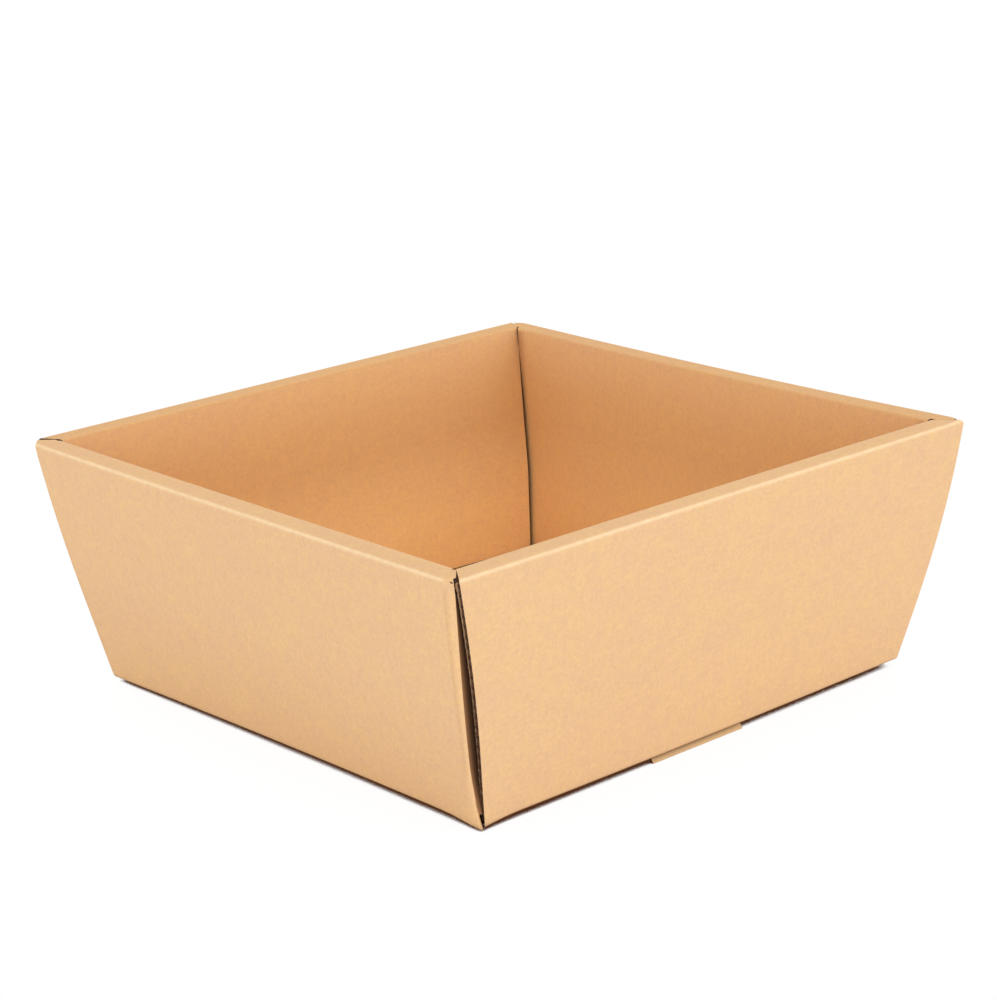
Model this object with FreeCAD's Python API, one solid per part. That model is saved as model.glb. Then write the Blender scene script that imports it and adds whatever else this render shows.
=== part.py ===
import FreeCAD, Part
import math
import os

# A square corrugated card tray with sloping double walls, folded from one cut sheet.
# Each wall goes up, turns over a level rim and comes down again inside. The front and back
# walls close over the corner flaps of the two side walls, and each is locked by a tab that
# is pushed through a slot in the floor. The tray stands on those two tabs.
# X runs along the front wall, Y from front to back, Z up from the ends of the tabs.
# Lengths are in millimetres and angles in degrees.

# The card
BOARD = 1.6                    # thickness of the corrugated card
LINER = 0.24                   # each flat outer paper
MEDIUM = 0.26                  # the wavy paper between them
FLUTE_PITCH = 3.3              # from one wave to the next
FOLD_RADIUS = 1.8              # outside of a creased fold
FOLD_LAND = 0.2                # flat card that still belongs to a fold, at each side of it
PLY_GAP = 0.15                 # air between two layers that lie on each other

# The tray
INSIDE_WIDTH = 170.0           # between the feet of the inner walls
WALL_HEIGHT = 78.8             # from the underside of the floor to the rim
WALL_LEAN = 10.8               # of the outer walls, from upright
RIM_WIDTH = 8.0                # level top of each wall
FOOT_GAP = 0.3                 # under the inner walls, above the floor

# The locking tabs of the front and back walls
TAB_WIDTH = 38.0
TAB_DROP = 3.2                 # from the underside of the floor to the level end of a tab
SLOT_GAP = 0.25                # round a tab, in its slot

# The cut ends of the walls, at each corner
BASE_SETBACK = 3.7             # of a front wall's raw edge, from the side wall's outer face
TOP_SETBACK = 2.8              # the same, at the rim
INNER_END_GAP = 0.3            # between an inner front wall and the side wall it meets
SIDE_RIM_SETBACK = 2.6         # of a side rim's outer end, from the front wall's outer face
SIDE_INNER_GAP = 0.9           # between a side rim's inner end and the front rim
CORNER_RADIUS = 2.2            # outside of the soft fold from a side wall to its flap
FLAP_LENGTH = 46.0             # of the corner flaps, from the side wall's outer face
FLAP_TOP_GAP = 0.4             # between a flap and the rim above it
FLAP_FOOT_GAP = 0.5            # between a flap and the floor
CORNER_LIFT = 0.3              # of a corner fold's lower edge, from the underside of the floor
CORNER_GAP = 0.15              # between a corner fold and the end of the front wall's crease

# Sizes that follow from those
slope = math.tan(math.radians(WALL_LEAN))
leaning_board = BOARD / math.cos(math.radians(WALL_LEAN))
inside_half = INSIDE_WIDTH / 2
base_half = inside_half + 3 * BOARD + 2 * PLY_GAP
top_half = base_half + WALL_HEIGHT * slope
rim_inner_half = top_half - RIM_WIDTH
foot_height = BOARD + FOOT_GAP
inner_slope = (rim_inner_half - inside_half) / (WALL_HEIGHT - foot_height)
inner_lean = math.atan(inner_slope)
flap_offset = leaning_board + PLY_GAP
side_fold_half = base_half - flap_offset - CORNER_RADIUS - FOLD_LAND
front_end = base_half - BASE_SETBACK
flap_foot = BOARD + FLAP_FOOT_GAP
flap_top = WALL_HEIGHT - BOARD - FLAP_TOP_GAP
reach = 2 * top_half           # longer than any wall, for extrusions that get trimmed
plane_spare = 10.0             # how far a trimming block goes past the card


def at(out, up):
    """A point of a wall's section: its distance from the middle of the tray and its height."""
    return FreeCAD.Vector(out, 0, up)


# The line that a wall's printed side follows, from the floor's crease to the foot inside
BASE_CREASE = at(base_half, 0)
OUTER_CREASE = at(top_half, WALL_HEIGHT)
INNER_CREASE = at(rim_inner_half, WALL_HEIGHT)
FOOT = at(inside_half, foot_height)


def bisector(before, corner, after):
    """The direction into a corner, and half of the corner's angle."""
    back = (before - corner).normalize()
    ahead = (after - corner).normalize()
    half_angle = back.getAngle(ahead) / 2
    return (back + ahead).normalize(), half_angle


def fold_run(before, corner, after):
    """How far a rounded fold reaches along each of its two panels."""
    half_angle = bisector(before, corner, after)[1]
    return FOLD_RADIUS / math.tan(half_angle) + FOLD_LAND


def toward(start, end, distance):
    """The point at a distance from start, on the way to end."""
    return start + (end - start).normalize() * distance


def rounded_line(points, radius):
    """The edges of an open line whose inner points are rounded."""
    edges = []
    start = points[0]
    for before, corner, after in zip(points, points[1:], points[2:]):
        inward, half_angle = bisector(before, corner, after)
        run = radius / math.tan(half_angle)
        first = toward(corner, before, run)
        last = toward(corner, after, run)
        middle = corner + inward * (radius / math.sin(half_angle) - radius)
        edges.append(Part.makeLine(start, first))
        edges.append(Part.Arc(first, middle, last).toShape())
        start = last
    edges.append(Part.makeLine(start, points[-1]))
    return edges


def card_side(start, end):
    """The direction through the card, from the printed side of a panel to its other side."""
    along = (end - start).normalize()
    return FreeCAD.Vector(-along.z, 0, along.x)


def card_section(points):
    """The section of the card along a line of panels, with rounded folds between them."""
    hidden = [points[0] + card_side(points[0], points[1]) * BOARD]
    for before, corner, after in zip(points, points[1:], points[2:]):
        inward, half_angle = bisector(before, corner, after)
        hidden.append(corner + inward * (BOARD / math.sin(half_angle)))
    hidden.append(points[-1] + card_side(points[-2], points[-1]) * BOARD)
    edges = rounded_line(points, FOLD_RADIUS) + rounded_line(hidden, FOLD_RADIUS - BOARD)
    edges.append(Part.makeLine(points[0], hidden[0]))
    edges.append(Part.makeLine(points[-1], hidden[-1]))
    return Part.Face(Part.Wire(Part.__sortEdges__(edges)))


def along_wall(face):
    """A section drawn out along the wall, far past both of its ends."""
    solid = face.extrude(FreeCAD.Vector(0, reach, 0))
    solid.translate(FreeCAD.Vector(0, -reach / 2, 0))
    return solid


def mirrored_outline(half_outline):
    """A closed outline from the points of its one half."""
    other_half = [(-across, other) for across, other in reversed(half_outline)]
    outline = half_outline + other_half
    return outline + outline[:1]


def upright_trim(half_outline):
    """A block whose outline is given by places along the wall and heights."""
    points = [FreeCAD.Vector(0, along, up) for along, up in mirrored_outline(half_outline)]
    return Part.Face(Part.makePolygon(points)).extrude(FreeCAD.Vector(reach, 0, 0))


def level_trim(half_outline):
    """A block whose outline is given by places along the wall and distances from the middle."""
    points = [FreeCAD.Vector(out, along, 0) for along, out in mirrored_outline(half_outline)]
    return Part.Face(Part.makePolygon(points)).extrude(FreeCAD.Vector(0, 0, 2 * WALL_HEIGHT))


def flutes(start, end):
    """The air channels inside a flat panel, as one shape, drawn out along the wall."""
    along = (end - start).normalize()
    through = card_side(start, end)
    half_pitch = FLUTE_PITCH / 2
    wide = half_pitch - 1.2 * MEDIUM
    narrow = MEDIUM
    count = int(((end - start).Length - MEDIUM) / half_pitch) - 1
    first = ((end - start).Length - (count - 1) * half_pitch) / 2
    channels = []
    for number in range(count):
        centre = start + along * (first + number * half_pitch)
        if number % 2:
            low, high = LINER + MEDIUM, BOARD - LINER
            low_half, high_half = narrow, wide
        else:
            low, high = LINER, BOARD - LINER - MEDIUM
            low_half, high_half = wide, narrow
        corners = [(-low_half, low), (low_half, low), (high_half, high), (-high_half, high)]
        points = [centre + along * place + through * depth for place, depth in corners]
        channels.append(along_wall(Part.Face(Part.makePolygon(points + points[:1]))))
    return Part.makeCompound(channels)


base_run = fold_run(at(0, 0), BASE_CREASE, OUTER_CREASE)
outer_run = fold_run(BASE_CREASE, OUTER_CREASE, INNER_CREASE)
inner_run = fold_run(OUTER_CREASE, INNER_CREASE, FOOT)

# Where the flat floor and the flat middle of a rim end and the rounded folds begin
FLOOR_EDGE = toward(BASE_CREASE, at(0, 0), base_run)
RIM_OUTER = toward(OUTER_CREASE, INNER_CREASE, outer_run)
RIM_INNER = toward(INNER_CREASE, OUTER_CREASE, inner_run)


def wall(outer_outline, rim_outline, inner_outline, open_flutes):
    """One double wall, on the tray's +X side, from the half outlines of its three panels.

    The upright outlines give half lengths and heights, from the bottom up. The rim's gives
    half lengths and distances from the middle of the tray, from the inner crease out.
    """
    outer = along_wall(card_section([FLOOR_EDGE, BASE_CREASE, OUTER_CREASE, RIM_OUTER]))
    rim = along_wall(card_section([RIM_OUTER, RIM_INNER]))
    inner = along_wall(card_section([RIM_INNER, INNER_CREASE, FOOT]))
    if open_flutes:
        lower = toward(BASE_CREASE, OUTER_CREASE, base_run)
        upper = toward(OUTER_CREASE, BASE_CREASE, outer_run)
        outer = outer.cut(flutes(lower, upper))
        rim = rim.cut(flutes(RIM_OUTER, RIM_INNER))
        inner = inner.cut(flutes(toward(INNER_CREASE, FOOT, inner_run), FOOT))
    return [outer.common(upright_trim(outer_outline)),
            rim.common(level_trim(rim_outline)),
            inner.common(upright_trim(inner_outline))]


def tab():
    """The locking tab at the foot of a front wall, on the tray's +X side."""
    end = FOOT + (FOOT - INNER_CREASE).normalize() * (foot_height + TAB_DROP + BOARD)
    half = TAB_WIDTH / 2
    blank = along_wall(card_section([FOOT, end])).cut(flutes(FOOT, end))
    return blank.common(upright_trim([(half, foot_height + BOARD), (half, -TAB_DROP)]))


def turned(shapes, angle):
    """Copies of a wall's shapes, turned about the middle of the tray."""
    copies = []
    for shape in shapes:
        copy = shape.copy()
        copy.rotate(FreeCAD.Vector(), FreeCAD.Vector(0, 0, 1), angle)
        copies.append(copy)
    return copies


def floor():
    """The floor, with its corners notched and a slot for each tab."""
    half = FLOOR_EDGE.x
    plate = level_trim([(side_fold_half, half), (side_fold_half, front_end), (half, front_end),
                        (half, -front_end), (side_fold_half, -front_end), (side_fold_half, -half)])
    plate = plate.common(level_layer(0, BOARD))
    slot_inner = inside_half - foot_height * inner_slope - SLOT_GAP
    slot_outer = inside_half + BOARD / math.cos(inner_lean) + SLOT_GAP
    slot_length = TAB_WIDTH + 2 * SLOT_GAP
    slot_depth = slot_outer - slot_inner
    for side in (1, -1):
        middle = side * (slot_inner + slot_outer) / 2
        corner = FreeCAD.Vector(-slot_length / 2, middle - slot_depth / 2, -BOARD)
        plate = plate.cut(Part.makeBox(slot_length, slot_depth, 3 * BOARD, corner))
    return plate


def level_layer(low, high):
    """A wide slab between two heights."""
    return Part.makeBox(reach, reach, high - low, FreeCAD.Vector(-reach / 2, -reach / 2, low))


def flared_block(half_x, half_y, radius):
    """A block that widens upwards like the tray, with its four sloping edges rounded."""
    spread = WALL_HEIGHT * slope
    height = WALL_HEIGHT
    along_y = upright_trim([(half_y, 0), (half_y + spread, height)])
    along_y.translate(FreeCAD.Vector(-reach / 2, 0, 0))
    along_x = upright_trim([(half_x, 0), (half_x + spread, height)])
    along_x.translate(FreeCAD.Vector(-reach / 2, 0, 0))
    along_x.rotate(FreeCAD.Vector(), FreeCAD.Vector(0, 0, 1), 90)
    block = along_x.common(along_y)
    sloping = [edge for edge in block.Edges if abs(edge.Vertexes[0].Z - edge.Vertexes[-1].Z) > BOARD]
    return block.makeFillet(radius, sloping)


def corner_flaps():
    """The soft corner folds of the side walls and the flaps behind the front and back walls."""
    half_x, half_y = base_half, base_half - flap_offset
    ring = flared_block(half_x, half_y, CORNER_RADIUS)
    ring = ring.cut(flared_block(half_x - leaning_board, half_y - leaning_board, CORNER_RADIUS - BOARD))
    side_panels = upright_trim([(side_fold_half, 0), (side_fold_half + WALL_HEIGHT * slope, WALL_HEIGHT)])
    side_panels.translate(FreeCAD.Vector(-reach / 2, 0, 0))
    between = 2 * (base_half - FLAP_LENGTH)
    middle = Part.makeBox(between, reach, reach, FreeCAD.Vector(-between / 2, -reach / 2, -plane_spare))
    folds = ring.cut(side_panels).common(level_layer(CORNER_LIFT, flap_top))
    under_flaps = Part.makeBox(2 * (front_end + CORNER_GAP), reach, flap_foot + plane_spare,
                               FreeCAD.Vector(-front_end - CORNER_GAP, -reach / 2, -plane_spare))
    return folds.cut(middle).cut(under_flaps).Solids


def front_wall():
    """A wall that closes over two flaps, with raw fluted ends and a locking tab."""
    top_end = top_half - TOP_SETBACK
    inner_top_end = rim_inner_half - INNER_END_GAP
    foot_end = inside_half - INNER_END_GAP
    outer_outline = [(front_end, -plane_spare), (front_end, 0),
                     (top_end, flap_top), (top_end, WALL_HEIGHT + plane_spare)]
    rim_outline = [(inner_top_end, RIM_INNER.x), (top_end, RIM_OUTER.x)]
    inner_outline = [(foot_end, 0), (foot_end, foot_height),
                     (inner_top_end, flap_top), (inner_top_end, WALL_HEIGHT + plane_spare)]
    return wall(outer_outline, rim_outline, inner_outline, open_flutes=True) + [tab()]


def side_wall():
    """A wall that carries two corner flaps. Its rim lies over the tops of their folds."""
    fold_top = side_fold_half + flap_top * slope
    rim_foot = flap_top + FLAP_TOP_GAP / 2
    top_end = top_half - SIDE_RIM_SETBACK
    inner_top_end = rim_inner_half - SIDE_INNER_GAP
    foot_end = inside_half + BOARD
    outer_outline = [(side_fold_half, -plane_spare), (side_fold_half, 0), (fold_top, flap_top),
                     (fold_top, rim_foot), (top_end, rim_foot), (top_end, WALL_HEIGHT + plane_spare)]
    rim_outline = [(inner_top_end, RIM_INNER.x), (top_end, RIM_OUTER.x)]
    inner_outline = [(foot_end, 0), (foot_end, foot_height),
                     (inner_top_end, flap_top), (inner_top_end, WALL_HEIGHT + plane_spare)]
    return wall(outer_outline, rim_outline, inner_outline, open_flutes=False)


def folded_tray():
    """The whole tray, as the one sheet that it is."""
    front, side = front_wall(), side_wall()
    pieces = turned(front, -90) + turned(front, 90) + turned(side, 0) + turned(side, 180)
    pieces += corner_flaps()
    tray = floor().multiFuse(pieces).removeSplitter()
    tray.translate(FreeCAD.Vector(0, 0, TAB_DROP))
    return tray


tray = folded_tray()
print("solids", len(tray.Solids), "valid", tray.isValid(), "volume", round(tray.Volume), "box", tray.BoundBox)
os.makedirs("parts", exist_ok=True)
tray.exportStep("parts/folded_tray.step")
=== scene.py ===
import math

import bmesh
import bpy
from mathutils import Matrix, Vector, noise


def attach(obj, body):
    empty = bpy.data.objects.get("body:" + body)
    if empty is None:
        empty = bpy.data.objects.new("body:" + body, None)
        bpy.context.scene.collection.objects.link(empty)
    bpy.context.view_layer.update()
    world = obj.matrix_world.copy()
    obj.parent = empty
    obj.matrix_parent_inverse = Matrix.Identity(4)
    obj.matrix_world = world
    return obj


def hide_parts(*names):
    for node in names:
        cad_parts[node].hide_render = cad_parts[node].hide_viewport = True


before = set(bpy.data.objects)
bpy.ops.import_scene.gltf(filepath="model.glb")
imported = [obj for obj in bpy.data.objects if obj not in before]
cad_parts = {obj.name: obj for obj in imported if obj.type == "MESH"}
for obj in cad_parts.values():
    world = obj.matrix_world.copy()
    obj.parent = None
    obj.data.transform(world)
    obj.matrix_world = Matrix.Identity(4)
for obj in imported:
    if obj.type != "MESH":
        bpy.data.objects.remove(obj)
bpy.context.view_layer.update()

# The tray is one folded sheet of corrugated card. Lengths are in metres, angles in degrees.
# X runs along the front wall, Y from front to back, Z up from the ends of the two tabs.
MM = 0.001

# The card
BOARD = 1.6 * MM
LINER = 0.24 * MM
MEDIUM = 0.22 * MM
FLUTE_PITCH = 3.3 * MM
FOLD_RADIUS = 1.4 * MM   # a little sharper than the solid's, as pressed folds look
FOLD_LAND = 0.2 * MM
INNERMOST_RADIUS = 0.2 * MM   # of a fold deep in the card
PLY_GAP = 0.15 * MM

# The tray
INSIDE_HALF = 85 * MM
WALL_HEIGHT = 78.8 * MM
WALL_LEAN = math.radians(10.8)
RIM_WIDTH = 8.0 * MM
FOOT_GAP = 0.3 * MM
TAB_HALF = 19 * MM
TAB_DROP = 3.2 * MM

# The cut ends of the panels at the corners
BASE_SETBACK = 3.7 * MM
TOP_SETBACK = 2.8 * MM
INNER_END_GAP = 0.3 * MM
SIDE_INNER_GAP = 0.9 * MM
CORNER_RADIUS = 2.2 * MM
FLAP_TOP_GAP = 0.4 * MM
FLAP_FOOT_GAP = 0.5 * MM

slope = math.tan(WALL_LEAN)
leaning_board = BOARD / math.cos(WALL_LEAN)
base_half = INSIDE_HALF + 3 * BOARD + 2 * PLY_GAP
top_half = base_half + WALL_HEIGHT * slope
rim_inner_half = top_half - RIM_WIDTH
foot_height = BOARD + FOOT_GAP
inner_slope = (rim_inner_half - INSIDE_HALF) / (WALL_HEIGHT - foot_height)
flap_offset = leaning_board + PLY_GAP
side_fold_half = base_half - flap_offset - CORNER_RADIUS - FOLD_LAND
front_end = base_half - BASE_SETBACK
flap_top = WALL_HEIGHT - BOARD - FLAP_TOP_GAP
flap_foot = BOARD + FLAP_FOOT_GAP


# The camera, placed as the photograph was taken
CAMERA_AZIMUTH, CAMERA_ELEVATION, CAMERA_ROLL = (math.radians(a) for a in (-40.63, 16.98, -2.54))
CAMERA_DISTANCE = 1063.5 * MM
CAMERA_AIM = Vector((120.5 * MM, 138.0 * MM, TAB_DROP - 0.4 * MM))
FOCAL_PIXELS = 2750
PICTURE_LONG_SIDE = 1000
SENSOR = 36


def make_camera():
    """The camera, aimed past the tray as in the photograph's framing, with its small roll."""
    azimuth, elevation = CAMERA_AZIMUTH, CAMERA_ELEVATION
    back = Vector((math.sin(azimuth) * math.cos(elevation),
                   -math.cos(azimuth) * math.cos(elevation), math.sin(elevation)))
    right = Vector((math.cos(azimuth), math.sin(azimuth), 0))
    up = back.cross(right)
    cos, sin = math.cos(CAMERA_ROLL), math.sin(CAMERA_ROLL)
    right, up = right * cos + up * sin, up * cos - right * sin
    data = bpy.data.cameras.new("camera")
    data.sensor_width = SENSOR
    data.lens = FOCAL_PIXELS * SENSOR / PICTURE_LONG_SIDE
    data.clip_start, data.clip_end = 0.05, 20
    camera = bpy.data.objects.new("camera", data)
    bpy.context.scene.collection.objects.link(camera)
    turn = Matrix((right, up, back)).transposed().to_4x4()
    camera.matrix_world = Matrix.Translation(CAMERA_AIM + back * CAMERA_DISTANCE) @ turn
    bpy.context.scene.camera = camera


make_camera()


# Modelling helpers

def unit(value):
    """A value held between nought and one."""
    return min(max(value, 0), 1)


def pick(piece, kind, test):
    """Selects, in edit mode, the vertices, edges or faces that pass the test."""
    bpy.ops.mesh.select_all(action="DESELECT")
    bpy.ops.mesh.select_mode(type=kind)
    mesh = bmesh.from_edit_mesh(piece.data)
    items = {"VERT": mesh.verts, "EDGE": mesh.edges, "FACE": mesh.faces}[kind]
    for item in items:
        item.select = test(item)
    mesh.select_flush_mode()
    bmesh.update_edit_mesh(piece.data)


def near(vertex, point):
    return (vertex.co - point).length < 0.01 * MM


def on_rail(edge, rail):
    """Whether an edge is the one between a rail's two points."""
    a, b = edge.verts
    return near(a, rail[0]) and near(b, rail[1]) or near(a, rail[1]) and near(b, rail[0])


def carry(piece, where, target):
    """Moves the vertex at one place to another place."""
    pick(piece, "VERT", lambda v: near(v, where))
    bpy.ops.transform.translate(value=target - where)


def folded_strip(name, rails):
    """A sheet through a row of rails, each a pair of points: one extrusion for each panel."""
    bpy.ops.object.select_all(action="DESELECT")
    bpy.ops.mesh.primitive_plane_add(size=2)
    piece = bpy.context.object
    piece.name = piece.data.name = name
    bpy.ops.object.mode_set(mode="EDIT")
    starts = (Vector((-1, 1, 0)), Vector((-1, -1, 0))), (Vector((1, 1, 0)), Vector((1, -1, 0)))
    for corners, rail in zip(starts, rails):
        for corner, point in zip(corners, rail):
            carry(piece, corner, point)
    for before, rail in zip(rails[1:], rails[2:]):
        pick(piece, "EDGE", lambda e: on_rail(e, before))
        step = (rail[0] + rail[1] - before[0] - before[1]) / 2
        bpy.ops.mesh.extrude_region_move(TRANSFORM_OT_translate={"value": step})
        for old, new in zip(before, rail):
            carry(piece, old + step, new)
    return piece


def round_fold(piece, rail, run, steps=5):
    """Rounds the fold along one rail, as far as run to each side of it."""
    pick(piece, "EDGE", lambda e: on_rail(e, rail))
    bpy.ops.mesh.bevel(offset=run, offset_type="OFFSET", segments=steps, profile=0.6,
                       affect="EDGES", clamp_overlap=False)


def divide(piece, test, cuts):
    """Cuts across all the edges that pass the test."""
    pick(piece, "EDGE", test)
    bpy.ops.mesh.subdivide(number_cuts=cuts)


KRAFT_FACE, CUT, FLUTES = 0, 1, 2      # the three kinds of surface, in the order of the materials


def set_surface(piece, kind):
    """Notes for each face which kind of surface it is; the notes outlast the joining of pieces."""
    layer = piece.data.attributes.new("surface", "INT", "FACE")
    for number in range(len(piece.data.polygons)):
        layer.data[number].value = kind(number)


def finish_sheet(piece, thickness, depth_side=-1):
    """Turns the sheet's printed side outwards and gives the card its thickness behind it."""
    bpy.ops.mesh.select_all(action="SELECT")
    bpy.ops.mesh.flip_normals()
    bpy.ops.object.mode_set(mode="OBJECT")
    faces = len(piece.data.polygons)
    solidify = piece.modifiers.new("card", "SOLIDIFY")
    solidify.thickness = thickness
    solidify.offset = depth_side
    solidify.use_even_offset = True
    bpy.ops.object.modifier_apply(modifier=solidify.name)
    set_surface(piece, lambda number: CUT if number >= 2 * faces else KRAFT_FACE)
    return piece


def cut_off(piece, place, outward):
    """Cuts the piece through a place and removes the part on the outward side."""
    bpy.ops.mesh.select_all(action="SELECT")
    bpy.ops.mesh.bisect(plane_co=place, plane_no=outward, clear_outer=True)


def copy_turned(piece, name, angle):
    """A copy with its own mesh, turned about the middle of the tray."""
    copy = piece.copy()
    copy.data = piece.data.copy()
    copy.name = copy.data.name = name
    bpy.context.scene.collection.objects.link(copy)
    copy.data.transform(Matrix.Rotation(math.radians(angle), 4, "Z"))
    return copy


def join(name, parts):
    """One piece out of several."""
    bpy.ops.object.select_all(action="DESELECT")
    for part in parts:
        part.select_set(True)
    bpy.context.view_layer.objects.active = parts[0]
    bpy.ops.object.join()
    parts[0].name = parts[0].data.name = name
    return parts[0]


# The section of a wall. It is drawn for the +X wall as places (out, up): how far from the
# middle of the tray and how high above the underside of the floor.

def place(out, up):
    return Vector((out, 0, up))


FLOOR_EDGE = place(side_fold_half, 0)
BASE_CREASE = place(base_half, 0)
OUTER_CREASE = place(top_half, WALL_HEIGHT)
INNER_CREASE = place(rim_inner_half, WALL_HEIGHT)
FOOT = place(INSIDE_HALF, foot_height)


def half_angle(before, corner, after):
    return (before - corner).angle(after - corner) / 2


def fold_run(before, corner, after, depth=0.0):
    """How far a rounded fold reaches along its panels, at a depth into the card."""
    return max(FOLD_RADIUS - depth, INNERMOST_RADIUS) / math.tan(half_angle(before, corner, after))


def through_card(start, end):
    """The direction from the printed side of a panel into the card."""
    along = (end - start).normalized()
    return Vector((-along.z, 0, along.x))


def at_depth(points, depth):
    """The section's line at a depth into the card."""
    line = [points[0] + through_card(points[0], points[1]) * depth]
    for before, corner, after in zip(points, points[1:], points[2:]):
        inward = ((before - corner).normalized() + (after - corner).normalized()).normalized()
        line.append(corner + inward * (depth / math.sin(half_angle(before, corner, after))))
    line.append(points[-1] + through_card(points[-2], points[-1]) * depth)
    return line


def rails_of(points, ends):
    """The rails of a wall's panels: a point of the section, drawn out to each side."""
    return [(point + Vector((0, end, 0)), point - Vector((0, end, 0)))
            for point, end in zip(points, ends)]


def raised(rails):
    """Rails lifted from the underside of the floor to the tray's own height."""
    return [tuple(point + Vector((0, 0, TAB_DROP)) for point in rail) for rail in rails]


COLUMNS = 44           # divisions along a wall
PANEL_ROWS = 22        # divisions up a tall panel
FLOOR_ROWS = 30        # divisions of the floor between the side walls


def across_wall(edge):
    """Whether an edge runs from one side of the wall to the other."""
    a, b = edge.verts
    return a.co.y * b.co.y < 0


def tall(edge):
    return edge.calc_length() > 20 * MM and abs(edge.verts[0].co.z - edge.verts[1].co.z) > 20 * MM


def wall_sheet(name, line, ends, depth, thickness):
    """One layer of a wall's card, from the floor's edge over the rim to the foot inside."""
    points = at_depth(line, depth)
    rails = raised(rails_of(points, ends))
    piece = folded_strip(name, rails)
    for number in range(1, len(line) - 1):
        round_fold(piece, rails[number], fold_run(*line[number - 1:number + 2], depth))
    divide(piece, tall, PANEL_ROWS)
    divide(piece, across_wall, COLUMNS)
    return finish_sheet(piece, thickness)


# The front and back walls, which have open flutes at their ends

front_line = [FLOOR_EDGE, BASE_CREASE, OUTER_CREASE, INNER_CREASE, FOOT]
front_ends = [front_end, front_end, top_half - TOP_SETBACK, rim_inner_half - INNER_END_GAP,
              INSIDE_HALF - INNER_END_GAP]
WAVE_STEPS = 8
WAVE_FOLD_GAP = FOLD_RADIUS * 1.1   # from a fold to the first wave of a flat panel
TAB_WAVES_SHORT = 0.4 * MM          # how far the waves stop before the tab's level end


def wave_sheet(name, start, end, start_half, end_half):
    """The wavy middle layer of one flat panel: one wave, repeated along the panel."""
    along = (end - start).normalized()
    through = through_card(start, end)
    middle = BOARD / 2
    swing = middle - LINER - MEDIUM / 2
    count = int((end - start).length / FLUTE_PITCH)
    first = start + along * ((end - start).length - count * FLUTE_PITCH) / 2
    longest = max(start_half, end_half) + 2 * MM
    points = []
    for step in range(WAVE_STEPS + 1):
        depth = middle + swing * math.cos(2 * math.pi * step / WAVE_STEPS)
        points.append(first + along * (FLUTE_PITCH * step / WAVE_STEPS) + through * depth)
    piece = folded_strip(name, raised(rails_of(points, [longest] * len(points))))
    bpy.ops.object.mode_set(mode="OBJECT")
    array = piece.modifiers.new("waves", "ARRAY")
    array.count = count
    array.use_relative_offset = False
    array.use_constant_offset = True
    array.constant_offset_displace = along * FLUTE_PITCH
    array.use_merge_vertices = True
    array.merge_threshold = 0.01 * MM
    bpy.ops.object.modifier_apply(modifier=array.name)
    bpy.ops.object.mode_set(mode="EDIT")
    lift = Vector((0, 0, TAB_DROP))
    for side in (1, -1):
        near_end = start + Vector((0, side * start_half, 0))
        far_end = end + Vector((0, side * end_half, 0))
        outward = (far_end - near_end).cross(through) * side
        if outward.y * side < 0:
            outward = -outward
        cut_off(piece, near_end + lift, outward)
    divide(piece, across_wall, COLUMNS // 2)
    bpy.ops.object.mode_set(mode="OBJECT")
    solidify = piece.modifiers.new("paper", "SOLIDIFY")
    solidify.thickness = MEDIUM
    solidify.offset = 0
    bpy.ops.object.modifier_apply(modifier=solidify.name)
    set_surface(piece, lambda number: FLUTES)
    return piece


def panel_waves():
    """The wavy layers of a front wall's outer panel, rim and inner panel."""
    waves = []
    for number, name in ((1, "outer_flutes"), (2, "rim_flutes"), (3, "inner_flutes")):
        start, end = front_line[number], front_line[number + 1]
        length = (end - start).length
        along = (end - start) / length
        last_gap = 0 if number == 3 else WAVE_FOLD_GAP
        share = [WAVE_FOLD_GAP / length, 1 - last_gap / length]
        near_half, far_half = front_ends[number:number + 2]
        halves = [near_half + (far_half - near_half) * s for s in share]
        waves.append(wave_sheet(name, start + along * WAVE_FOLD_GAP, end - along * last_gap,
                                *halves))
    return waves


def tab_sheets():
    """The locking tab at the foot of a front wall: two papers and the waves between them."""
    down = (FOOT - INNER_CREASE).normalized()
    length = (foot_height + TAB_DROP) / -down.z
    parts = []
    for name, depth in (("tab_face", 0), ("tab_back", BOARD - LINER)):
        start = FOOT + through_card(INNER_CREASE, FOOT) * depth
        reach = (start.z + TAB_DROP) / -down.z
        rails = raised(rails_of([start, start + down * reach], [TAB_HALF, TAB_HALF]))
        piece = folded_strip(name, rails)
        divide(piece, across_wall, COLUMNS // 2)
        parts.append(finish_sheet(piece, LINER))
    tip = FOOT + down * (length - TAB_WAVES_SHORT)
    parts.append(wave_sheet("tab_flutes", FOOT, tip, TAB_HALF, TAB_HALF))
    return parts


def front_wall():
    parts = [wall_sheet("outer_paper", front_line, front_ends, 0, LINER),
             wall_sheet("inner_paper", front_line, front_ends, BOARD - LINER, LINER)]
    return join("front_wall", parts + panel_waves() + tab_sheets())


# The side walls and the floor: one strip from foot to foot, with a flap folded round each corner

side_ends = [side_fold_half, side_fold_half + flap_top * slope, rim_inner_half - SIDE_INNER_GAP,
             INSIDE_HALF + BOARD]
FACET_STEPS = 3        # columns from a side wall's end to the sharp line of the corner fold
FLAP_STEPS = (0.4 * MM, 1 * MM, 1 * MM, 1.2 * MM, 1.8 * MM, 6 * MM, 14 * MM, 18 * MM)
RECESS = 1.5 * MM      # how far a flap sinks behind the wall that covers it
RECESS_RUN = 2.2 * MM  # over which it sinks
FLAP_STEP_BACK = 0.12 * MM
TIP_HEIGHT = 22 * MM   # below it, the front left corner reaches forward to the photograph's tip
TIP_REACH_OUT = 2.4 * MM
TIP_WIDENING = 0.3 * MM
CORNER_TURN = 2.2 * MM  # how far the corner fold turns a side wall's end at the rim
MITRE_GAP = 0.4 * MM
front_rim_end = rim_inner_half - INNER_END_GAP
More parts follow.
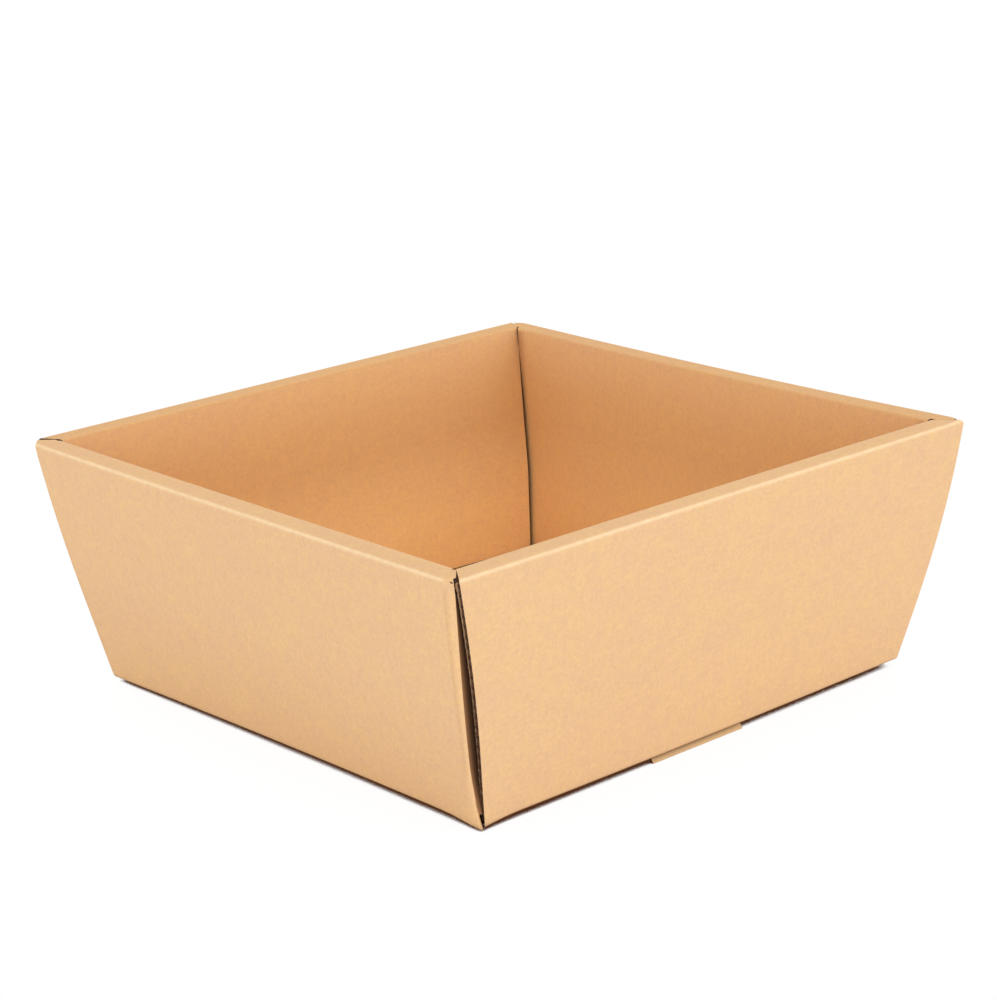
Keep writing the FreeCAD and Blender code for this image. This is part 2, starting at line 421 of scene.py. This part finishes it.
mitre_slope = RIM_WIDTH / (top_half - TOP_SETBACK - front_rim_end)


def mirrored(point):
    return Vector((-point.x, point.y, point.z))


def in_outer_panel(out, up):
    """Whether a place of the section is on the outer panel or its rounded folds."""
    return out > base_half + up * slope - 2.6 * MM


def on_rim(out, up):
    return up > WALL_HEIGHT - 0.1 * MM and out > rim_inner_half + 1 * MM


def section_place(vertex):
    return abs(vertex.co.x), vertex.co.z - TAB_DROP


def end_of_side(out, up):
    """Where a side wall ends, measured from the middle of the wall, at a place of its section."""
    if on_rim(out, up):
        share = (top_half - out) / RIM_WIDTH
        return side_ends[1] + (side_ends[2] - side_ends[1]) * share
    return side_ends[0] + (side_ends[1] - side_ends[0]) * up / WALL_HEIGHT


def extend_corner(piece, side_x, side_y):
    """Draws a side wall's end out flat: three narrow columns for the fold, then the flap."""
    def end_edge(edge, test):
        if not edge.is_boundary:
            return False
        for vertex in edge.verts:
            out, up = section_place(vertex)
            if vertex.co.x * side_x < 0 or vertex.co.y * side_y < 0 or not test(out, up):
                return False
        step = edge.verts[0].co - edge.verts[1].co
        return abs(step.x) + abs(step.z) > 0.01 * MM

    pick(piece, "EDGE", lambda e: end_edge(
        e, lambda out, up: in_outer_panel(out, up) or on_rim(out, up)))
    for step in range(FACET_STEPS):
        bpy.ops.mesh.extrude_region_move(TRANSFORM_OT_translate={"value": (0, side_y * MM, 0)})
    flap_rows = (flap_foot, flap_top - 0.1 * MM)
    pick(piece, "EDGE", lambda e: end_edge(
        e, lambda out, up: in_outer_panel(out, up) and flap_rows[0] < up < flap_rows[1]))
    for step in FLAP_STEPS:
        bpy.ops.mesh.extrude_region_move(TRANSFORM_OT_translate={"value": (0, side_y * step, 0)})


def facet_along(height):
    """How far a corner's flat facet reaches along the side wall, at a share of its height."""
    return (0.5 + 2.1 * height ** 2) * MM


def facet_across(height):
    """How far the facet reaches across the front or back wall."""
    return (0.5 + 1.7 * height) * MM


def fold_corner(co):
    """The folded place of a point of a side wall's flat end: round the corner, into the flap."""
    out, up = abs(co.x), co.z - TAB_DROP
    end_y = end_of_side(out, up)
    past = abs(co.y) - end_y
    if past < 0.1 * MM or not (in_outer_panel(out, up) or on_rim(out, up)):
        return co
    if up > flap_top:
        turn = CORNER_TURN * unit((out - rim_inner_half - 3 * MM) / (RIM_WIDTH - 3 * MM))
        mitre_y = rim_inner_half + (out - turn - front_rim_end) * mitre_slope - MITRE_GAP
        target = Vector((out - turn, min(top_half - flap_offset - 0.4 * MM, mitre_y)))
        plan = Vector((out, end_y)).lerp(target, min(past / (FACET_STEPS * MM), 1))
        return Vector((math.copysign(plan.x, co.x), math.copysign(plan.y, co.y), co.z))
    share = unit(up / WALL_HEIGHT)
    low = 1 - unit(up / TIP_HEIGHT)
    low *= low if co.x < 0 and co.y < 0 else 0
    wall_out = base_half + up * slope
    corner_y = wall_out - flap_offset + TIP_REACH_OUT * low
    cut_along = facet_along(share)
    cut_across = facet_across(share) + TIP_WIDENING * low
    behind = wall_out - out
    corner_y -= behind * 0.3
    start = Vector((wall_out, corner_y - cut_along))
    sharp = Vector((wall_out - cut_across, corner_y))
    steps = past / MM
    if steps < 1.5:
        plan = start
    elif steps < 2.5:
        plan = start.lerp(sharp, 0.55)
    elif steps < 3.1:
        plan = sharp
    else:
        run = past - FACET_STEPS * MM
        room = (1 - low) * RECESS * (0.5 + 0.5 * share)
        sink = room * (1 - math.exp(-run / RECESS_RUN))
        plan = Vector((sharp.x - run, sharp.y - FLAP_STEP_BACK - sink))
    plan.x -= behind
    return Vector((math.copysign(plan.x, co.x), math.copysign(plan.y, co.y), co.z))


def side_walls_and_floor():
    """The left wall, the floor, the right wall and the four corner flaps: one piece."""
    half_line = [FOOT, INNER_CREASE, OUTER_CREASE, BASE_CREASE]
    line = [mirrored(point) for point in half_line] + half_line[::-1]
    ends = side_ends[::-1] + side_ends
    rails = raised(rails_of(line, ends))
    piece = folded_strip("side_walls", rails)
    for number in range(1, len(line) - 1):
        round_fold(piece, rails[number], fold_run(*line[number - 1:number + 2]))
    divide(piece, tall, PANEL_ROWS)
    divide(piece, wide_floor, FLOOR_ROWS)
    divide(piece, across_wall, COLUMNS)
    for side_x in (1, -1):
        for side_y in (1, -1):
            extend_corner(piece, side_x, side_y)
    for vertex in bmesh.from_edit_mesh(piece.data).verts:
        vertex.co = fold_corner(vertex.co)
    bmesh.update_edit_mesh(piece.data)
    return finish_sheet(piece, BOARD)


def wide_floor(edge):
    """Whether an edge crosses the floor from the left wall to the right wall."""
    a, b = edge.verts
    return abs(a.co.x - b.co.x) > 150 * MM


front = front_wall()
front_piece = copy_turned(front, "front_wall_placed", -90)
back_piece = copy_turned(front, "back_wall_placed", 90)
bpy.data.objects.remove(front)
side_walls = side_walls_and_floor()


# How the card has settled: the folded panels bow and lean a little, as the photograph shows.
# Each bend is a distance outwards, given at the wall's two ends and its middle.

def over(v, first, middle, last):
    """A smooth curve through three values, for v from -1 over 0 to 1."""
    return (first * v * (v - 1) / 2 + middle * (1 - v * v) + last * v * (v + 1) / 2) * MM


WALL_BENDS = {
    "left": {"base": (-2.4, -1.7, -0.3), "top": (-0.4, -0.3, -0.4), "bow": (1.6, 0.8, 1.0)},
    "right": {"base": (1.6, 0.4, -0.1), "top": (-0.3, -1.2, -0.3), "bow": (2.8, 1.2, 1.0)},
    "front": {"base": (0.35, 0.2, -0.9), "top": (-0.9, -0.8, -0.3), "bow": (1.1, 0.4, 0.8)},
    "back": {"base": (1.4, 0.2, 0.0), "top": (-0.3, -0.3, -0.3), "bow": (1.0, 0.6, 0.8)},
}
RIM_DIPS = {
    "left": (-0.2, -0.2, 0.0), "right": (-0.3, -0.6, 0.0),
    "front": (-0.1, 0.0, 0.0), "back": (0.0, 0.0, 0.0),
}
BASE_DIPS = {
    "left": (-1.3, -1.2, -1.8), "right": (-0.8, -0.6, -0.6),
    "front": (-1.3, -1.25, -0.8), "back": (-1.8, -0.8, -0.6),
}
RIM_TILT = 0.4 * MM       # how far the front and left rims' outer folds lie below the inner ones
CUT_BOW = 1.1 * MM        # how far the front wall's left edge bows in at half its height
END_REACH = (4.6, 5.6, 2.2)   # of the front wall's right end: at its foot, middle and top, in mm
MITRE_SLIT = 1.8 * MM     # the open slit between the left and back rims
TIP_SAG = 1.2 * MM        # how much lower the front left tip lies
TIP_SAG_REACH = 9 * MM    # how far from the tip the sag is felt
TAB_SHIFT = -0.5 * MM     # how far the front tab's end stands to the right
TAB_CURL = 4 * MM         # how far its end is pressed outwards
FOLLOW = 0.3              # how much a front or back wall follows the side walls' bends
BASE_ZONE = 30 * MM       # height over which the base's dips fade
WAVE_ZONE = 12 * MM       # height over which the small waves grow
WAVE_SIZE = 0.3 * MM
WAVES_A_METRE = 14
INNER_SKIN = 1.7 * MM     # the inner panel's card, with a little air
BACK_LEAN = 4.4           # how far the back inner panel leans off its wall, in mm
BACK_REACH = (0.9, 0.3)   # how far its end reaches to the right: all the way up, more at the top
RIGHT_STAND = 2.2         # how far the right inner panel's back end stands outwards, in mm


def wall_bend(wall, v, height):
    """How far outwards a wall stands off its plain place, at v along it and a share of height."""
    bends = WALL_BENDS[wall]
    v = min(max(v, -1.05), 1.05)
    rise = unit(height)
    lean = over(v, *bends["base"]) * (1 - rise) + over(v, *bends["top"]) * rise
    return lean + over(v, *bends["bow"]) * math.sin(math.pi * rise)


def settled(co, covers=False):
    """The settled place of a point; covers is True for the front and back walls' own card."""
    up = co.z - TAB_DROP
    height = up / WALL_HEIGHT
    half = base_half + max(up, 0) * slope
    across, depth = co.x / half, co.y / half
    share_x = min(abs(across), 1) ** 5
    share_y = min(abs(depth), 1) ** 5
    shift = Vector((0, 0, 0))
    side = wall_bend("right", depth, height) if co.x > 0 else -wall_bend("left", depth, height)
    face = wall_bend("back", across, height) if co.y > 0 else -wall_bend("front", across, height)
    rise = unit(height)
    shift.y += face * share_y
    shift.x += side * share_x * (FOLLOW if covers else 1)
    out = abs(co.y if covers else co.x)
    inner = INSIDE_HALF + max(up, 0) * inner_slope
    outer = unit((out - inner - INNER_SKIN) / ((2 + 4.3 * rise ** 8) * MM))
    if covers and co.y < 0:
        shift.x += CUT_BOW * math.sin(math.pi * rise) * max(-across, 0) ** 5
        shift.x += over(rise * 2 - 1, *END_REACH) * max(across, 0) ** 8 * outer
    if covers and co.y > 0:
        shift.x += MITRE_SLIT * unit((-across - 0.9) / 0.08) * rise ** 8
    dips = [over(depth, *table["right" if co.x > 0 else "left"]) * share_x
            + over(across, *table["back" if co.y > 0 else "front"]) * share_y
            for table in (RIM_DIPS, BASE_DIPS)]
    both = max(share_x + share_y, 0.5)
    shift.z += rise ** 3 * dips[0] / both
    if covers and co.y < 0 or not covers and co.x < 0:
        shift.z -= RIM_TILT * outer * rise ** 3 * (1 - max(across if covers else depth, 0) ** 6)
    if up > -0.5 * MM or abs(co.x) > TAB_HALF * 1.5:
        low = (1 - unit(up / BASE_ZONE)) ** 2
        shift.z += low * dips[1] / both
        away = math.hypot(co.x + base_half, co.y + base_half)
        shift.z -= TIP_SAG * math.exp(-(away / TIP_SAG_REACH) ** 2) * low
    elif co.y < 0:
        shift += Vector((TAB_SHIFT, -TAB_CURL, 0)) * min(-up / TAB_DROP, 1)
    wave = noise.noise(co * WAVES_A_METRE + Vector((3.1, 0, 0))) * WAVE_SIZE
    wave_y = noise.noise(co * WAVES_A_METRE + Vector((0, 9.7, 0))) * WAVE_SIZE
    damp = unit(up / WAVE_ZONE) * (1 - rise ** 4)
    shift.x += wave * damp
    shift.y += wave_y * damp
    return co + shift


def inner_bow(co, covers):
    """The back inner panel leans off its wall at its right end, and the right one makes room."""
    up = co.z - TAB_DROP
    if up < 0:
        return co
    height = min(up / WALL_HEIGHT, 1)
    inner = INSIDE_HALF + up * inner_slope
    if covers and abs(co.y - inner) < 2.5 * MM and abs(co.x) < inner + 1 * MM:
        end = unit(co.x / inner) ** 1.5
        reach = (BACK_REACH[0] + BACK_REACH[1] * height ** 4) * MM * end
        return co + Vector((reach, -BACK_LEAN * MM * end * min(1.6 * (1 - height), 1), 0))
    if not covers and abs(co.x - inner) < 2.2 * MM and abs(co.y) < inner + 1.5 * MM:
        end = unit(co.y / inner) ** 2
        return co + Vector((RIGHT_STAND * MM * (1 - 0.8 * height ** 3) * end, 0, 0))
    return co


HIGHEST = 81.98 * MM
LOWEST = 0.02 * MM


def settle(piece, covers=False):
    for vertex in piece.data.vertices:
        co = settled(inner_bow(vertex.co, covers), covers)
        co.z = min(max(co.z, LOWEST), HIGHEST)
        vertex.co = co
    piece.data.update()


# Marks on the mesh that the card's finish follows, among them painted shade and painted light

def mark(piece, name, value, kind="FLOAT"):
    """Writes a number or a colour at each vertex, worked out from its place."""
    layer = piece.data.attributes.new(name, kind, "POINT")
    field = "color" if kind == "FLOAT_COLOR" else "value"
    for item, vertex in zip(layer.data, piece.data.vertices):
        setattr(item, field, value(vertex.co))


WEAR_AND_HIGHLIGHT_WIDTH = 0.7 * MM     # of the paler band beside a fold: partly wear, partly a painted highlight
FAR_WEAR_AND_HIGHLIGHT = 0.3            # of the far walls' pale folds, wear and painted highlight, where the near walls' is one


def crease_mark(turned):
    """How near a vertex is to the folds along a wall, for their wear and painted highlight; turned
    for the front and back walls.
    """
    def value(co):
        out, up = abs(co.y if turned else co.x), co.z - TAB_DROP
        spot = place(out, up)
        gap = min((spot - OUTER_CREASE).length - 0.8 * MM, (spot - INNER_CREASE).length - 0.6 * MM,
                  (spot - BASE_CREASE).length)
        far_side = (co.y if turned else co.x) > 0
        return unit(1 - gap / WEAR_AND_HIGHLIGHT_WIDTH) * (FAR_WEAR_AND_HIGHLIGHT if far_side else 1)
    return value


# Painted shade and painted light, as tints by which the paper's colour is multiplied
# Painted shade inside the tray, painted bounce light at the inner feet, painted shade low on the
# left wall
INSIDE_SHADE = (0.90, 0.78, 0.60)
FOOT_BOUNCE_LIGHT = (1.17, 1.15, 0.96)
LOW_SHADE = (0.95, 0.92, 0.88)
# A painted highlight on the corner facets, and a painted shade line along their edge
FACET_HIGHLIGHT = (1.05, 1.04, 1.0)
FACET_SHADE_LINE = (0.92, 0.89, 0.86)
# Painted shade in the corner gaps: brown by the fold, near black deep behind the covering wall
GAP_SHADE_NEAR = (0.5, 0.36, 0.28)
GAP_SHADE_DEEP = (0.04, 0.03, 0.025)
PLAIN = (1, 1, 1)
RIM_SHADE_FAR, RIM_SHADE_NEAR = 0.8, 0.3     # how much of the inside's painted shade the rims have


def between(first, second, share):
    share = unit(share)
    return [a + (b - a) * share for a, b in zip(first, second)]


def shade_mark(turned):
    """Painted shade and painted light over the tray: painted shade inside, painted bounce light at
    the inner feet, painted shade in the corner gaps.
    """
    def value(co):
        up = co.z - TAB_DROP
        height = unit(up / WALL_HEIGHT)
        out, along = (abs(co.y), abs(co.x)) if turned else (abs(co.x), abs(co.y))
        inner = INSIDE_HALF + max(up, 0) * inner_slope
        # The rims: some of the inside's painted shade, more on the far rims
        if up > WALL_HEIGHT - 1.0 * MM:
            far_side = (co.y if turned else co.x) > 0
            return between(PLAIN, INSIDE_SHADE, RIM_SHADE_FAR if far_side else RIM_SHADE_NEAR)
        if out < inner + 2.4 * MM and not (not turned and along > inner + 1 * MM):
            if up < 0.8 * MM:
                return PLAIN
            # Painted shade inside, fading towards the rim, and painted bounce light towards the
            # foot
            painted_tint = between(INSIDE_SHADE, PLAIN, (height - 0.75) * 4 * 0.45)
            low = min(max(0.6 - height, 0) / 0.35, 1)
            painted_tint = between(painted_tint, FOOT_BOUNCE_LIGHT, low * (1 if turned else 0.55))
            # Painted shade at a side wall's inner end, behind the front or back panel
            covered_end = not turned and along > inner - 2.5 * MM
            return between(painted_tint, GAP_SHADE_NEAR, 0.6) if covered_end else painted_tint
        if turned:
            return PLAIN
        wall_out = base_half + up * slope
        run = wall_out - facet_across(height) - out
        in_flap = flap_foot < up < flap_top and along > wall_out - flap_offset - 4.2 * MM
        # Painted shade in a corner gap, deeper further behind the covering wall
        if in_flap and run > 0.1 * MM:
            return between(GAP_SHADE_NEAR, GAP_SHADE_DEEP, run / (3.2 * MM))
        past = along - (wall_out - flap_offset - facet_along(height))
        # Painted highlight on a corner facet, painted shade along its edge line
        if 2 * MM < up < flap_top and past > -0.1 * MM:
            return FACET_SHADE_LINE if past < 0.1 * MM else FACET_HIGHLIGHT
        # Painted shade low on the left wall
        return between(PLAIN, LOW_SHADE, (0.5 - height) * 2) if co.x < 0 else PLAIN
    return value


def flute_mark(turned):
    """The distance over the sheet, across its flutes."""
    return (lambda co: co.z + abs(co.y) * 0.8) if turned else (lambda co: co.y)


for piece, turned in ((front_piece, True), (back_piece, True), (side_walls, False)):
    mark(piece, "crease", crease_mark(turned))
    mark(piece, "flute", flute_mark(turned))
    # The shade attribute: painted shade and painted light, multiplied into the paper's colour
    painted_tint = shade_mark(turned)
    mark(piece, "shade", lambda co: (*painted_tint(co), 1), "FLOAT_COLOR")
    settle(piece, turned)
tray = join("folded_tray_card", [side_walls, front_piece, back_piece])
tray.data.polygons.foreach_set("use_smooth", [True] * len(tray.data.polygons))
bpy.ops.object.select_all(action="DESELECT")
tray.select_set(True)
bpy.context.view_layer.objects.active = tray
bpy.ops.object.shade_smooth_by_angle(angle=math.radians(40))


# Shader maths: a socket that adds its Math nodes when it is used in an expression

class Value:
    """One number that changes over a surface."""

    def __init__(self, tree, socket):
        self.tree, self.socket = tree, socket

    def math(self, operation, *others, flip=False):
        node = self.tree.nodes.new("ShaderNodeMath")
        node.operation = operation
        terms = [self, *others]
        if flip:
            terms.reverse()
        for place_in, term in zip(node.inputs, terms):
            if isinstance(term, Value):
                self.tree.links.new(term.socket, place_in)
            else:
                place_in.default_value = term
        return Value(self.tree, node.outputs[0])

    def __add__(self, other):
        return self.math("ADD", other)

    def __sub__(self, other):
        return self.math("SUBTRACT", other)

    def __rsub__(self, other):
        return self.math("SUBTRACT", other, flip=True)

    def __mul__(self, other):
        return self.math("MULTIPLY", other)

    def __truediv__(self, other):
        return self.math("DIVIDE", other)

    def __pow__(self, other):
        return self.math("POWER", other)

    __radd__ = __add__
    __rmul__ = __mul__

    def clamped(self):
        return self.math("MAXIMUM", 0).math("MINIMUM", 1)


class Finish:
    """A material under construction, with one method for every kind of node."""

    def __init__(self, name):
        self.material = bpy.data.materials.new(name)
        self.material.use_nodes = True
        self.tree = self.material.node_tree
        self.tree.nodes.clear()
        self.output = self.tree.nodes.new("ShaderNodeOutputMaterial")

    def node(self, kind, settings=None, **sockets):
        node = self.tree.nodes.new("ShaderNode" + kind)
        for name, value in (settings or {}).items():
            setattr(node, name, value)
        for name, value in sockets.items():
            self.fill(node, name.replace("_", " "), value)
        return node

    def fill(self, node, name, value):
        socket = node.inputs[int(name)] if name.isdigit() else node.inputs[name]
        if isinstance(value, Value):
            value = value.socket
        if isinstance(value, bpy.types.NodeSocket):
            self.tree.links.new(value, socket)
        else:
            socket.default_value = value

    def value(self, socket):
        return Value(self.tree, socket)

    def places(self):
        return self.node("TexCoord").outputs["Object"]

    def stretched(self, scale):
        mapping = self.node("Mapping", Vector=self.places(), Scale=scale)
        return mapping.outputs["Vector"]

    def noise(self, scale, detail=3.0, roughness=0.55, where=None):
        """Noise about zero, from about -1 to 1."""
        node = self.node("TexNoise", Vector=where or self.places(), Scale=scale, Detail=detail,
                         Roughness=roughness)
        return (self.value(node.outputs["Fac"]) - 0.5) * 2

    def mark(self, name):
        return self.value(self.node("Attribute", {"attribute_name": name}).outputs["Fac"])

    def mix(self, share, first, second, blend="MIX"):
        node = self.tree.nodes.new("ShaderNodeMix")
        node.data_type = "RGBA"
        node.blend_type = blend
        inputs = {s.identifier: s for s in node.inputs}
        for name, value in (("Factor_Float", share), ("A_Color", first), ("B_Color", second)):
            if isinstance(value, Value):
                value = value.socket
            if isinstance(value, bpy.types.NodeSocket):
                self.tree.links.new(value, inputs[name])
            else:
                inputs[name].default_value = value
        return next(s for s in node.outputs if s.identifier == "Result_Color")

    def card(self, colour, roughness, bump, strength=0.5, distance=0.1 * MM):
        """The matt shader that all the card shares."""
        relief = self.node("Bump", Height=bump, Strength=strength, Distance=distance)
        shader = self.node("BsdfPrincipled", Base_Color=colour, Roughness=roughness,
                           Normal=relief.outputs["Normal"])
        shader.inputs["Specular IOR Level"].default_value = 0.25
        self.tree.links.new(shader.outputs["BSDF"], self.output.inputs["Surface"])
        return self.material


KRAFT = (0.80, 0.515, 0.275, 1)
KRAFT_PINK = (0.81, 0.50, 0.315, 1)
KRAFT_YELLOW = (0.80, 0.535, 0.24, 1)
KRAFT_WORN_AND_HIGHLIGHT = (0.94, 0.72, 0.46, 1)
KRAFT_SHADE = (0.17, 0.07, 0.027, 1)
FLUTE_PAPER_SHADE = (0.17, 0.09, 0.05, 1)
CUT_PALE = (0.58, 0.48, 0.42, 1)
# Near black: the paper's dark specks, and the painted shade of the raw edges
SPECK_AND_CUT_SHADE = (0.06, 0.03, 0.018, 1)


def gap_shade(finish, distance):
    """Painted shade: one deep in the tray's narrow gaps and nought on its open faces."""
    node = finish.node("AmbientOcclusion", {"samples": 6}, Distance=distance)
    return ((0.58 - finish.value(node.outputs["AO"])) / 0.46).clamped()


def kraft_card():
    """Kraft paper: fine fibres, soft blotches a few millimetres wide, paler folds that are partly
    wear and partly a painted highlight, and painted shade from the shade attribute and in narrow
    gaps.
    """
    finish = Finish("kraft_card")
    blotch = finish.noise(150, 3, 0.6)
    drift = finish.noise(22, 2, 0.5)
    tone = finish.noise(420, 4, 0.65)
    grain = finish.noise(1000, 2, 0.6)
    fibre = finish.noise(900, 3, 0.6, finish.stretched((1, 1, 0.22)))
    fibre_flat = finish.noise(900, 3, 0.6, finish.stretched((0.2, 1, 1)))
    speck = (finish.noise(1900, 1, 0.4) - 0.62).clamped() * 6
    hue = (blotch * 0.5 + tone * 0.4 + grain * 0.6 + drift * 0.3 + 0.5).clamped()
    colour = finish.mix(hue, KRAFT_PINK, KRAFT_YELLOW)
    colour = finish.mix(0.35, colour, KRAFT)
    light = 1 + tone * 0.06 + grain * 0.11 + blotch * 0.03 + drift * 0.02
    light = light + (fibre + fibre_flat) * 0.04
    grey = finish.node("CombineColor", Red=light, Green=light, Blue=light).outputs["Color"]
    colour = finish.mix(1.0, colour, grey, "MULTIPLY")
    colour = finish.mix(speck.clamped() * 0.25, colour, SPECK_AND_CUT_SHADE)
    # Paler folds: partly wear, partly a painted highlight, weaker on the far walls
    wear_and_highlight = finish.mark("crease") ** 3 * (0.75 + tone * 0.5)
    colour = finish.mix((wear_and_highlight * 1.1).clamped(), colour, KRAFT_WORN_AND_HIGHLIGHT)
    # Painted shade and painted light from the shade attribute
    shade = finish.node("Attribute", {"attribute_name": "shade"}).outputs["Color"]
    colour = finish.mix(1.0, colour, shade, "MULTIPLY")
    # Painted shade in the narrow gaps, darkening the paper towards a shaded brown
    colour = finish.mix(gap_shade(finish, 6 * MM), colour, KRAFT_SHADE)
    wave = (finish.mark("flute") * (2 * math.pi / FLUTE_PITCH)).math("SINE")
    bump = fibre * 0.35 + fibre_flat * 0.35 + tone * 0.5 + wave * 0.10
    rough = 0.78 + tone * 0.05
    return finish.card(colour, rough, bump)


def cut_edge():
    """The raw edge of the papers: near black painted shade, deepest in the gaps, with pale torn
    fibres.
    """
    finish = Finish("cut_edge")
    fleck = (finish.noise(1300, 3, 0.6) * 2.4 - 0.1).clamped()
    colour = finish.mix(fleck, SPECK_AND_CUT_SHADE, CUT_PALE)
    # Painted shade, deeper in the gaps
    colour = finish.mix(gap_shade(finish, 4 * MM) * 0.8, colour, SPECK_AND_CUT_SHADE)
    return finish.card(colour, 0.9, fleck, 0.6, 0.1 * MM)


def flute_paper():
    """The wavy middle paper, coloured dark as painted shade for the hollows of the flutes."""
    finish = Finish("flute_paper")
    tone = finish.noise(700, 3, 0.6)
    colour = finish.mix((tone * 0.5 + 0.5).clamped(), FLUTE_PAPER_SHADE, KRAFT_SHADE)
    return finish.card(colour, 0.9, tone, 0.4, 0.1 * MM)


tray.data.materials.clear()
for material in (kraft_card(), cut_edge(), flute_paper()):
    tray.data.materials.append(material)
for face, surface in zip(tray.data.polygons, tray.data.attributes["surface"].data):
    face.material_index = surface.value

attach(tray, "root")
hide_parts("folded_tray")


# The plain white stage. The camera sees the floor white, with the tray's own contact shadow
# painted in from ambient occlusion.

CONTACT_SHADOW = (0.085, 0.03, 0.012, 1)
CONTACT_REACH, SHADOW_HAZE_REACH = 14 * MM, 120 * MM


def openness(finish, distance):
    """One where the floor is open to the sky, and less beside the tray."""
    node = finish.node("AmbientOcclusion", {"samples": 16}, Distance=distance)
    return finish.value(node.outputs["AO"])


def white_floor():
    """White, with a painted contact shadow, a thin brown line where the tray touches it, and a
    faint wide painted shadow haze.
    """
    finish = Finish("white_floor")
    near, wide = openness(finish, CONTACT_REACH), openness(finish, SHADOW_HAZE_REACH)
    spot = finish.node("SeparateXYZ", Vector=finish.places())
    # The painted shadow line is widest at the front left and narrowest at the back right.
    edge = 0.19 - finish.value(spot.outputs["X"]) * 0.45 - finish.value(spot.outputs["Y"]) * 0.35
    edge = edge.math("MAXIMUM", 0.10).math("MINIMUM", 0.26)
    line = ((near - edge) / 0.07).clamped()
    shadow_haze = 0.93 + wide * 0.14
    white = finish.node("CombineColor", Red=(shadow_haze + 0.02).clamped(), Green=shadow_haze.clamped(),
                        Blue=(shadow_haze - 0.01).clamped()).outputs["Color"]
    seen_colour = finish.mix(line, CONTACT_SHADOW, white)
    seen = finish.node("Emission", Color=seen_colour, Strength=1.0)
    plain = finish.node("BsdfDiffuse", Color=(0.86, 0.86, 0.86, 1))
    ray = finish.node("LightPath").outputs["Is Camera Ray"]
    both = finish.node("MixShader", **{"0": ray, "1": plain.outputs[0], "2": seen.outputs[0]})
    finish.tree.links.new(both.outputs[0], finish.output.inputs["Surface"])
    return finish.material


bpy.ops.object.select_all(action="DESELECT")
bpy.ops.mesh.primitive_plane_add(size=12)
floor = bpy.context.object
floor.name = "floor_stage"
floor.data.materials.append(white_floor())


HORIZON_LIGHT, ZENITH_LIGHT = 1.05, 0.92


def studio_world():
    """A soft white room: plain light on the tray, pure white where the camera sees it."""
    world = bpy.data.worlds.new("studio")
    bpy.context.scene.world = world
    world.use_nodes = True
    tree = world.node_tree
    background = tree.nodes["Background"]
    height = tree.nodes.new("ShaderNodeSeparateXYZ")
    tree.links.new(tree.nodes.new("ShaderNodeTexCoord").outputs["Generated"], height.inputs[0])
    fade = tree.nodes.new("ShaderNodeMapRange")
    tree.links.new(height.outputs["Z"], fade.inputs["Value"])
    fade.inputs["To Min"].default_value = HORIZON_LIGHT
    fade.inputs["To Max"].default_value = ZENITH_LIGHT
    tree.links.new(fade.outputs["Result"], background.inputs["Strength"])
    background.inputs["Color"].default_value = (1, 1, 1, 1)
    seen = tree.nodes.new("ShaderNodeBackground")
    mixer = tree.nodes.new("ShaderNodeMixShader")
    ray = tree.nodes.new("ShaderNodeLightPath")
    tree.links.new(ray.outputs["Is Camera Ray"], mixer.inputs[0])
    tree.links.new(background.outputs[0], mixer.inputs[1])
    tree.links.new(seen.outputs[0], mixer.inputs[2])
    seen.inputs["Color"].default_value = (1, 1, 1, 1)
    tree.links.new(mixer.outputs[0], tree.nodes["World Output"].inputs["Surface"])


TRAY_MIDDLE = Vector((0, 0, 40 * MM))


def soft_lamp(name, where, size, power):
    """A square soft lamp that looks at the tray."""
    data = bpy.data.lights.new(name, "AREA")
    data.size, data.energy = size, power
    lamp = bpy.data.objects.new(name, data)
    bpy.context.scene.collection.objects.link(lamp)
    look = Vector(where) - TRAY_MIDDLE
    turn = look.to_track_quat("Z", "Y").to_matrix().to_4x4()
    lamp.matrix_world = Matrix.Translation(where) @ turn


studio_world()
soft_lamp("front_lamp", (0.6, -1.8, 0.6), 1.0, 6.8)
soft_lamp("left_lamp", (-1.8, -0.4, 0.5), 1.0, 4.2)
bpy.context.scene.view_settings.view_transform = "Standard"
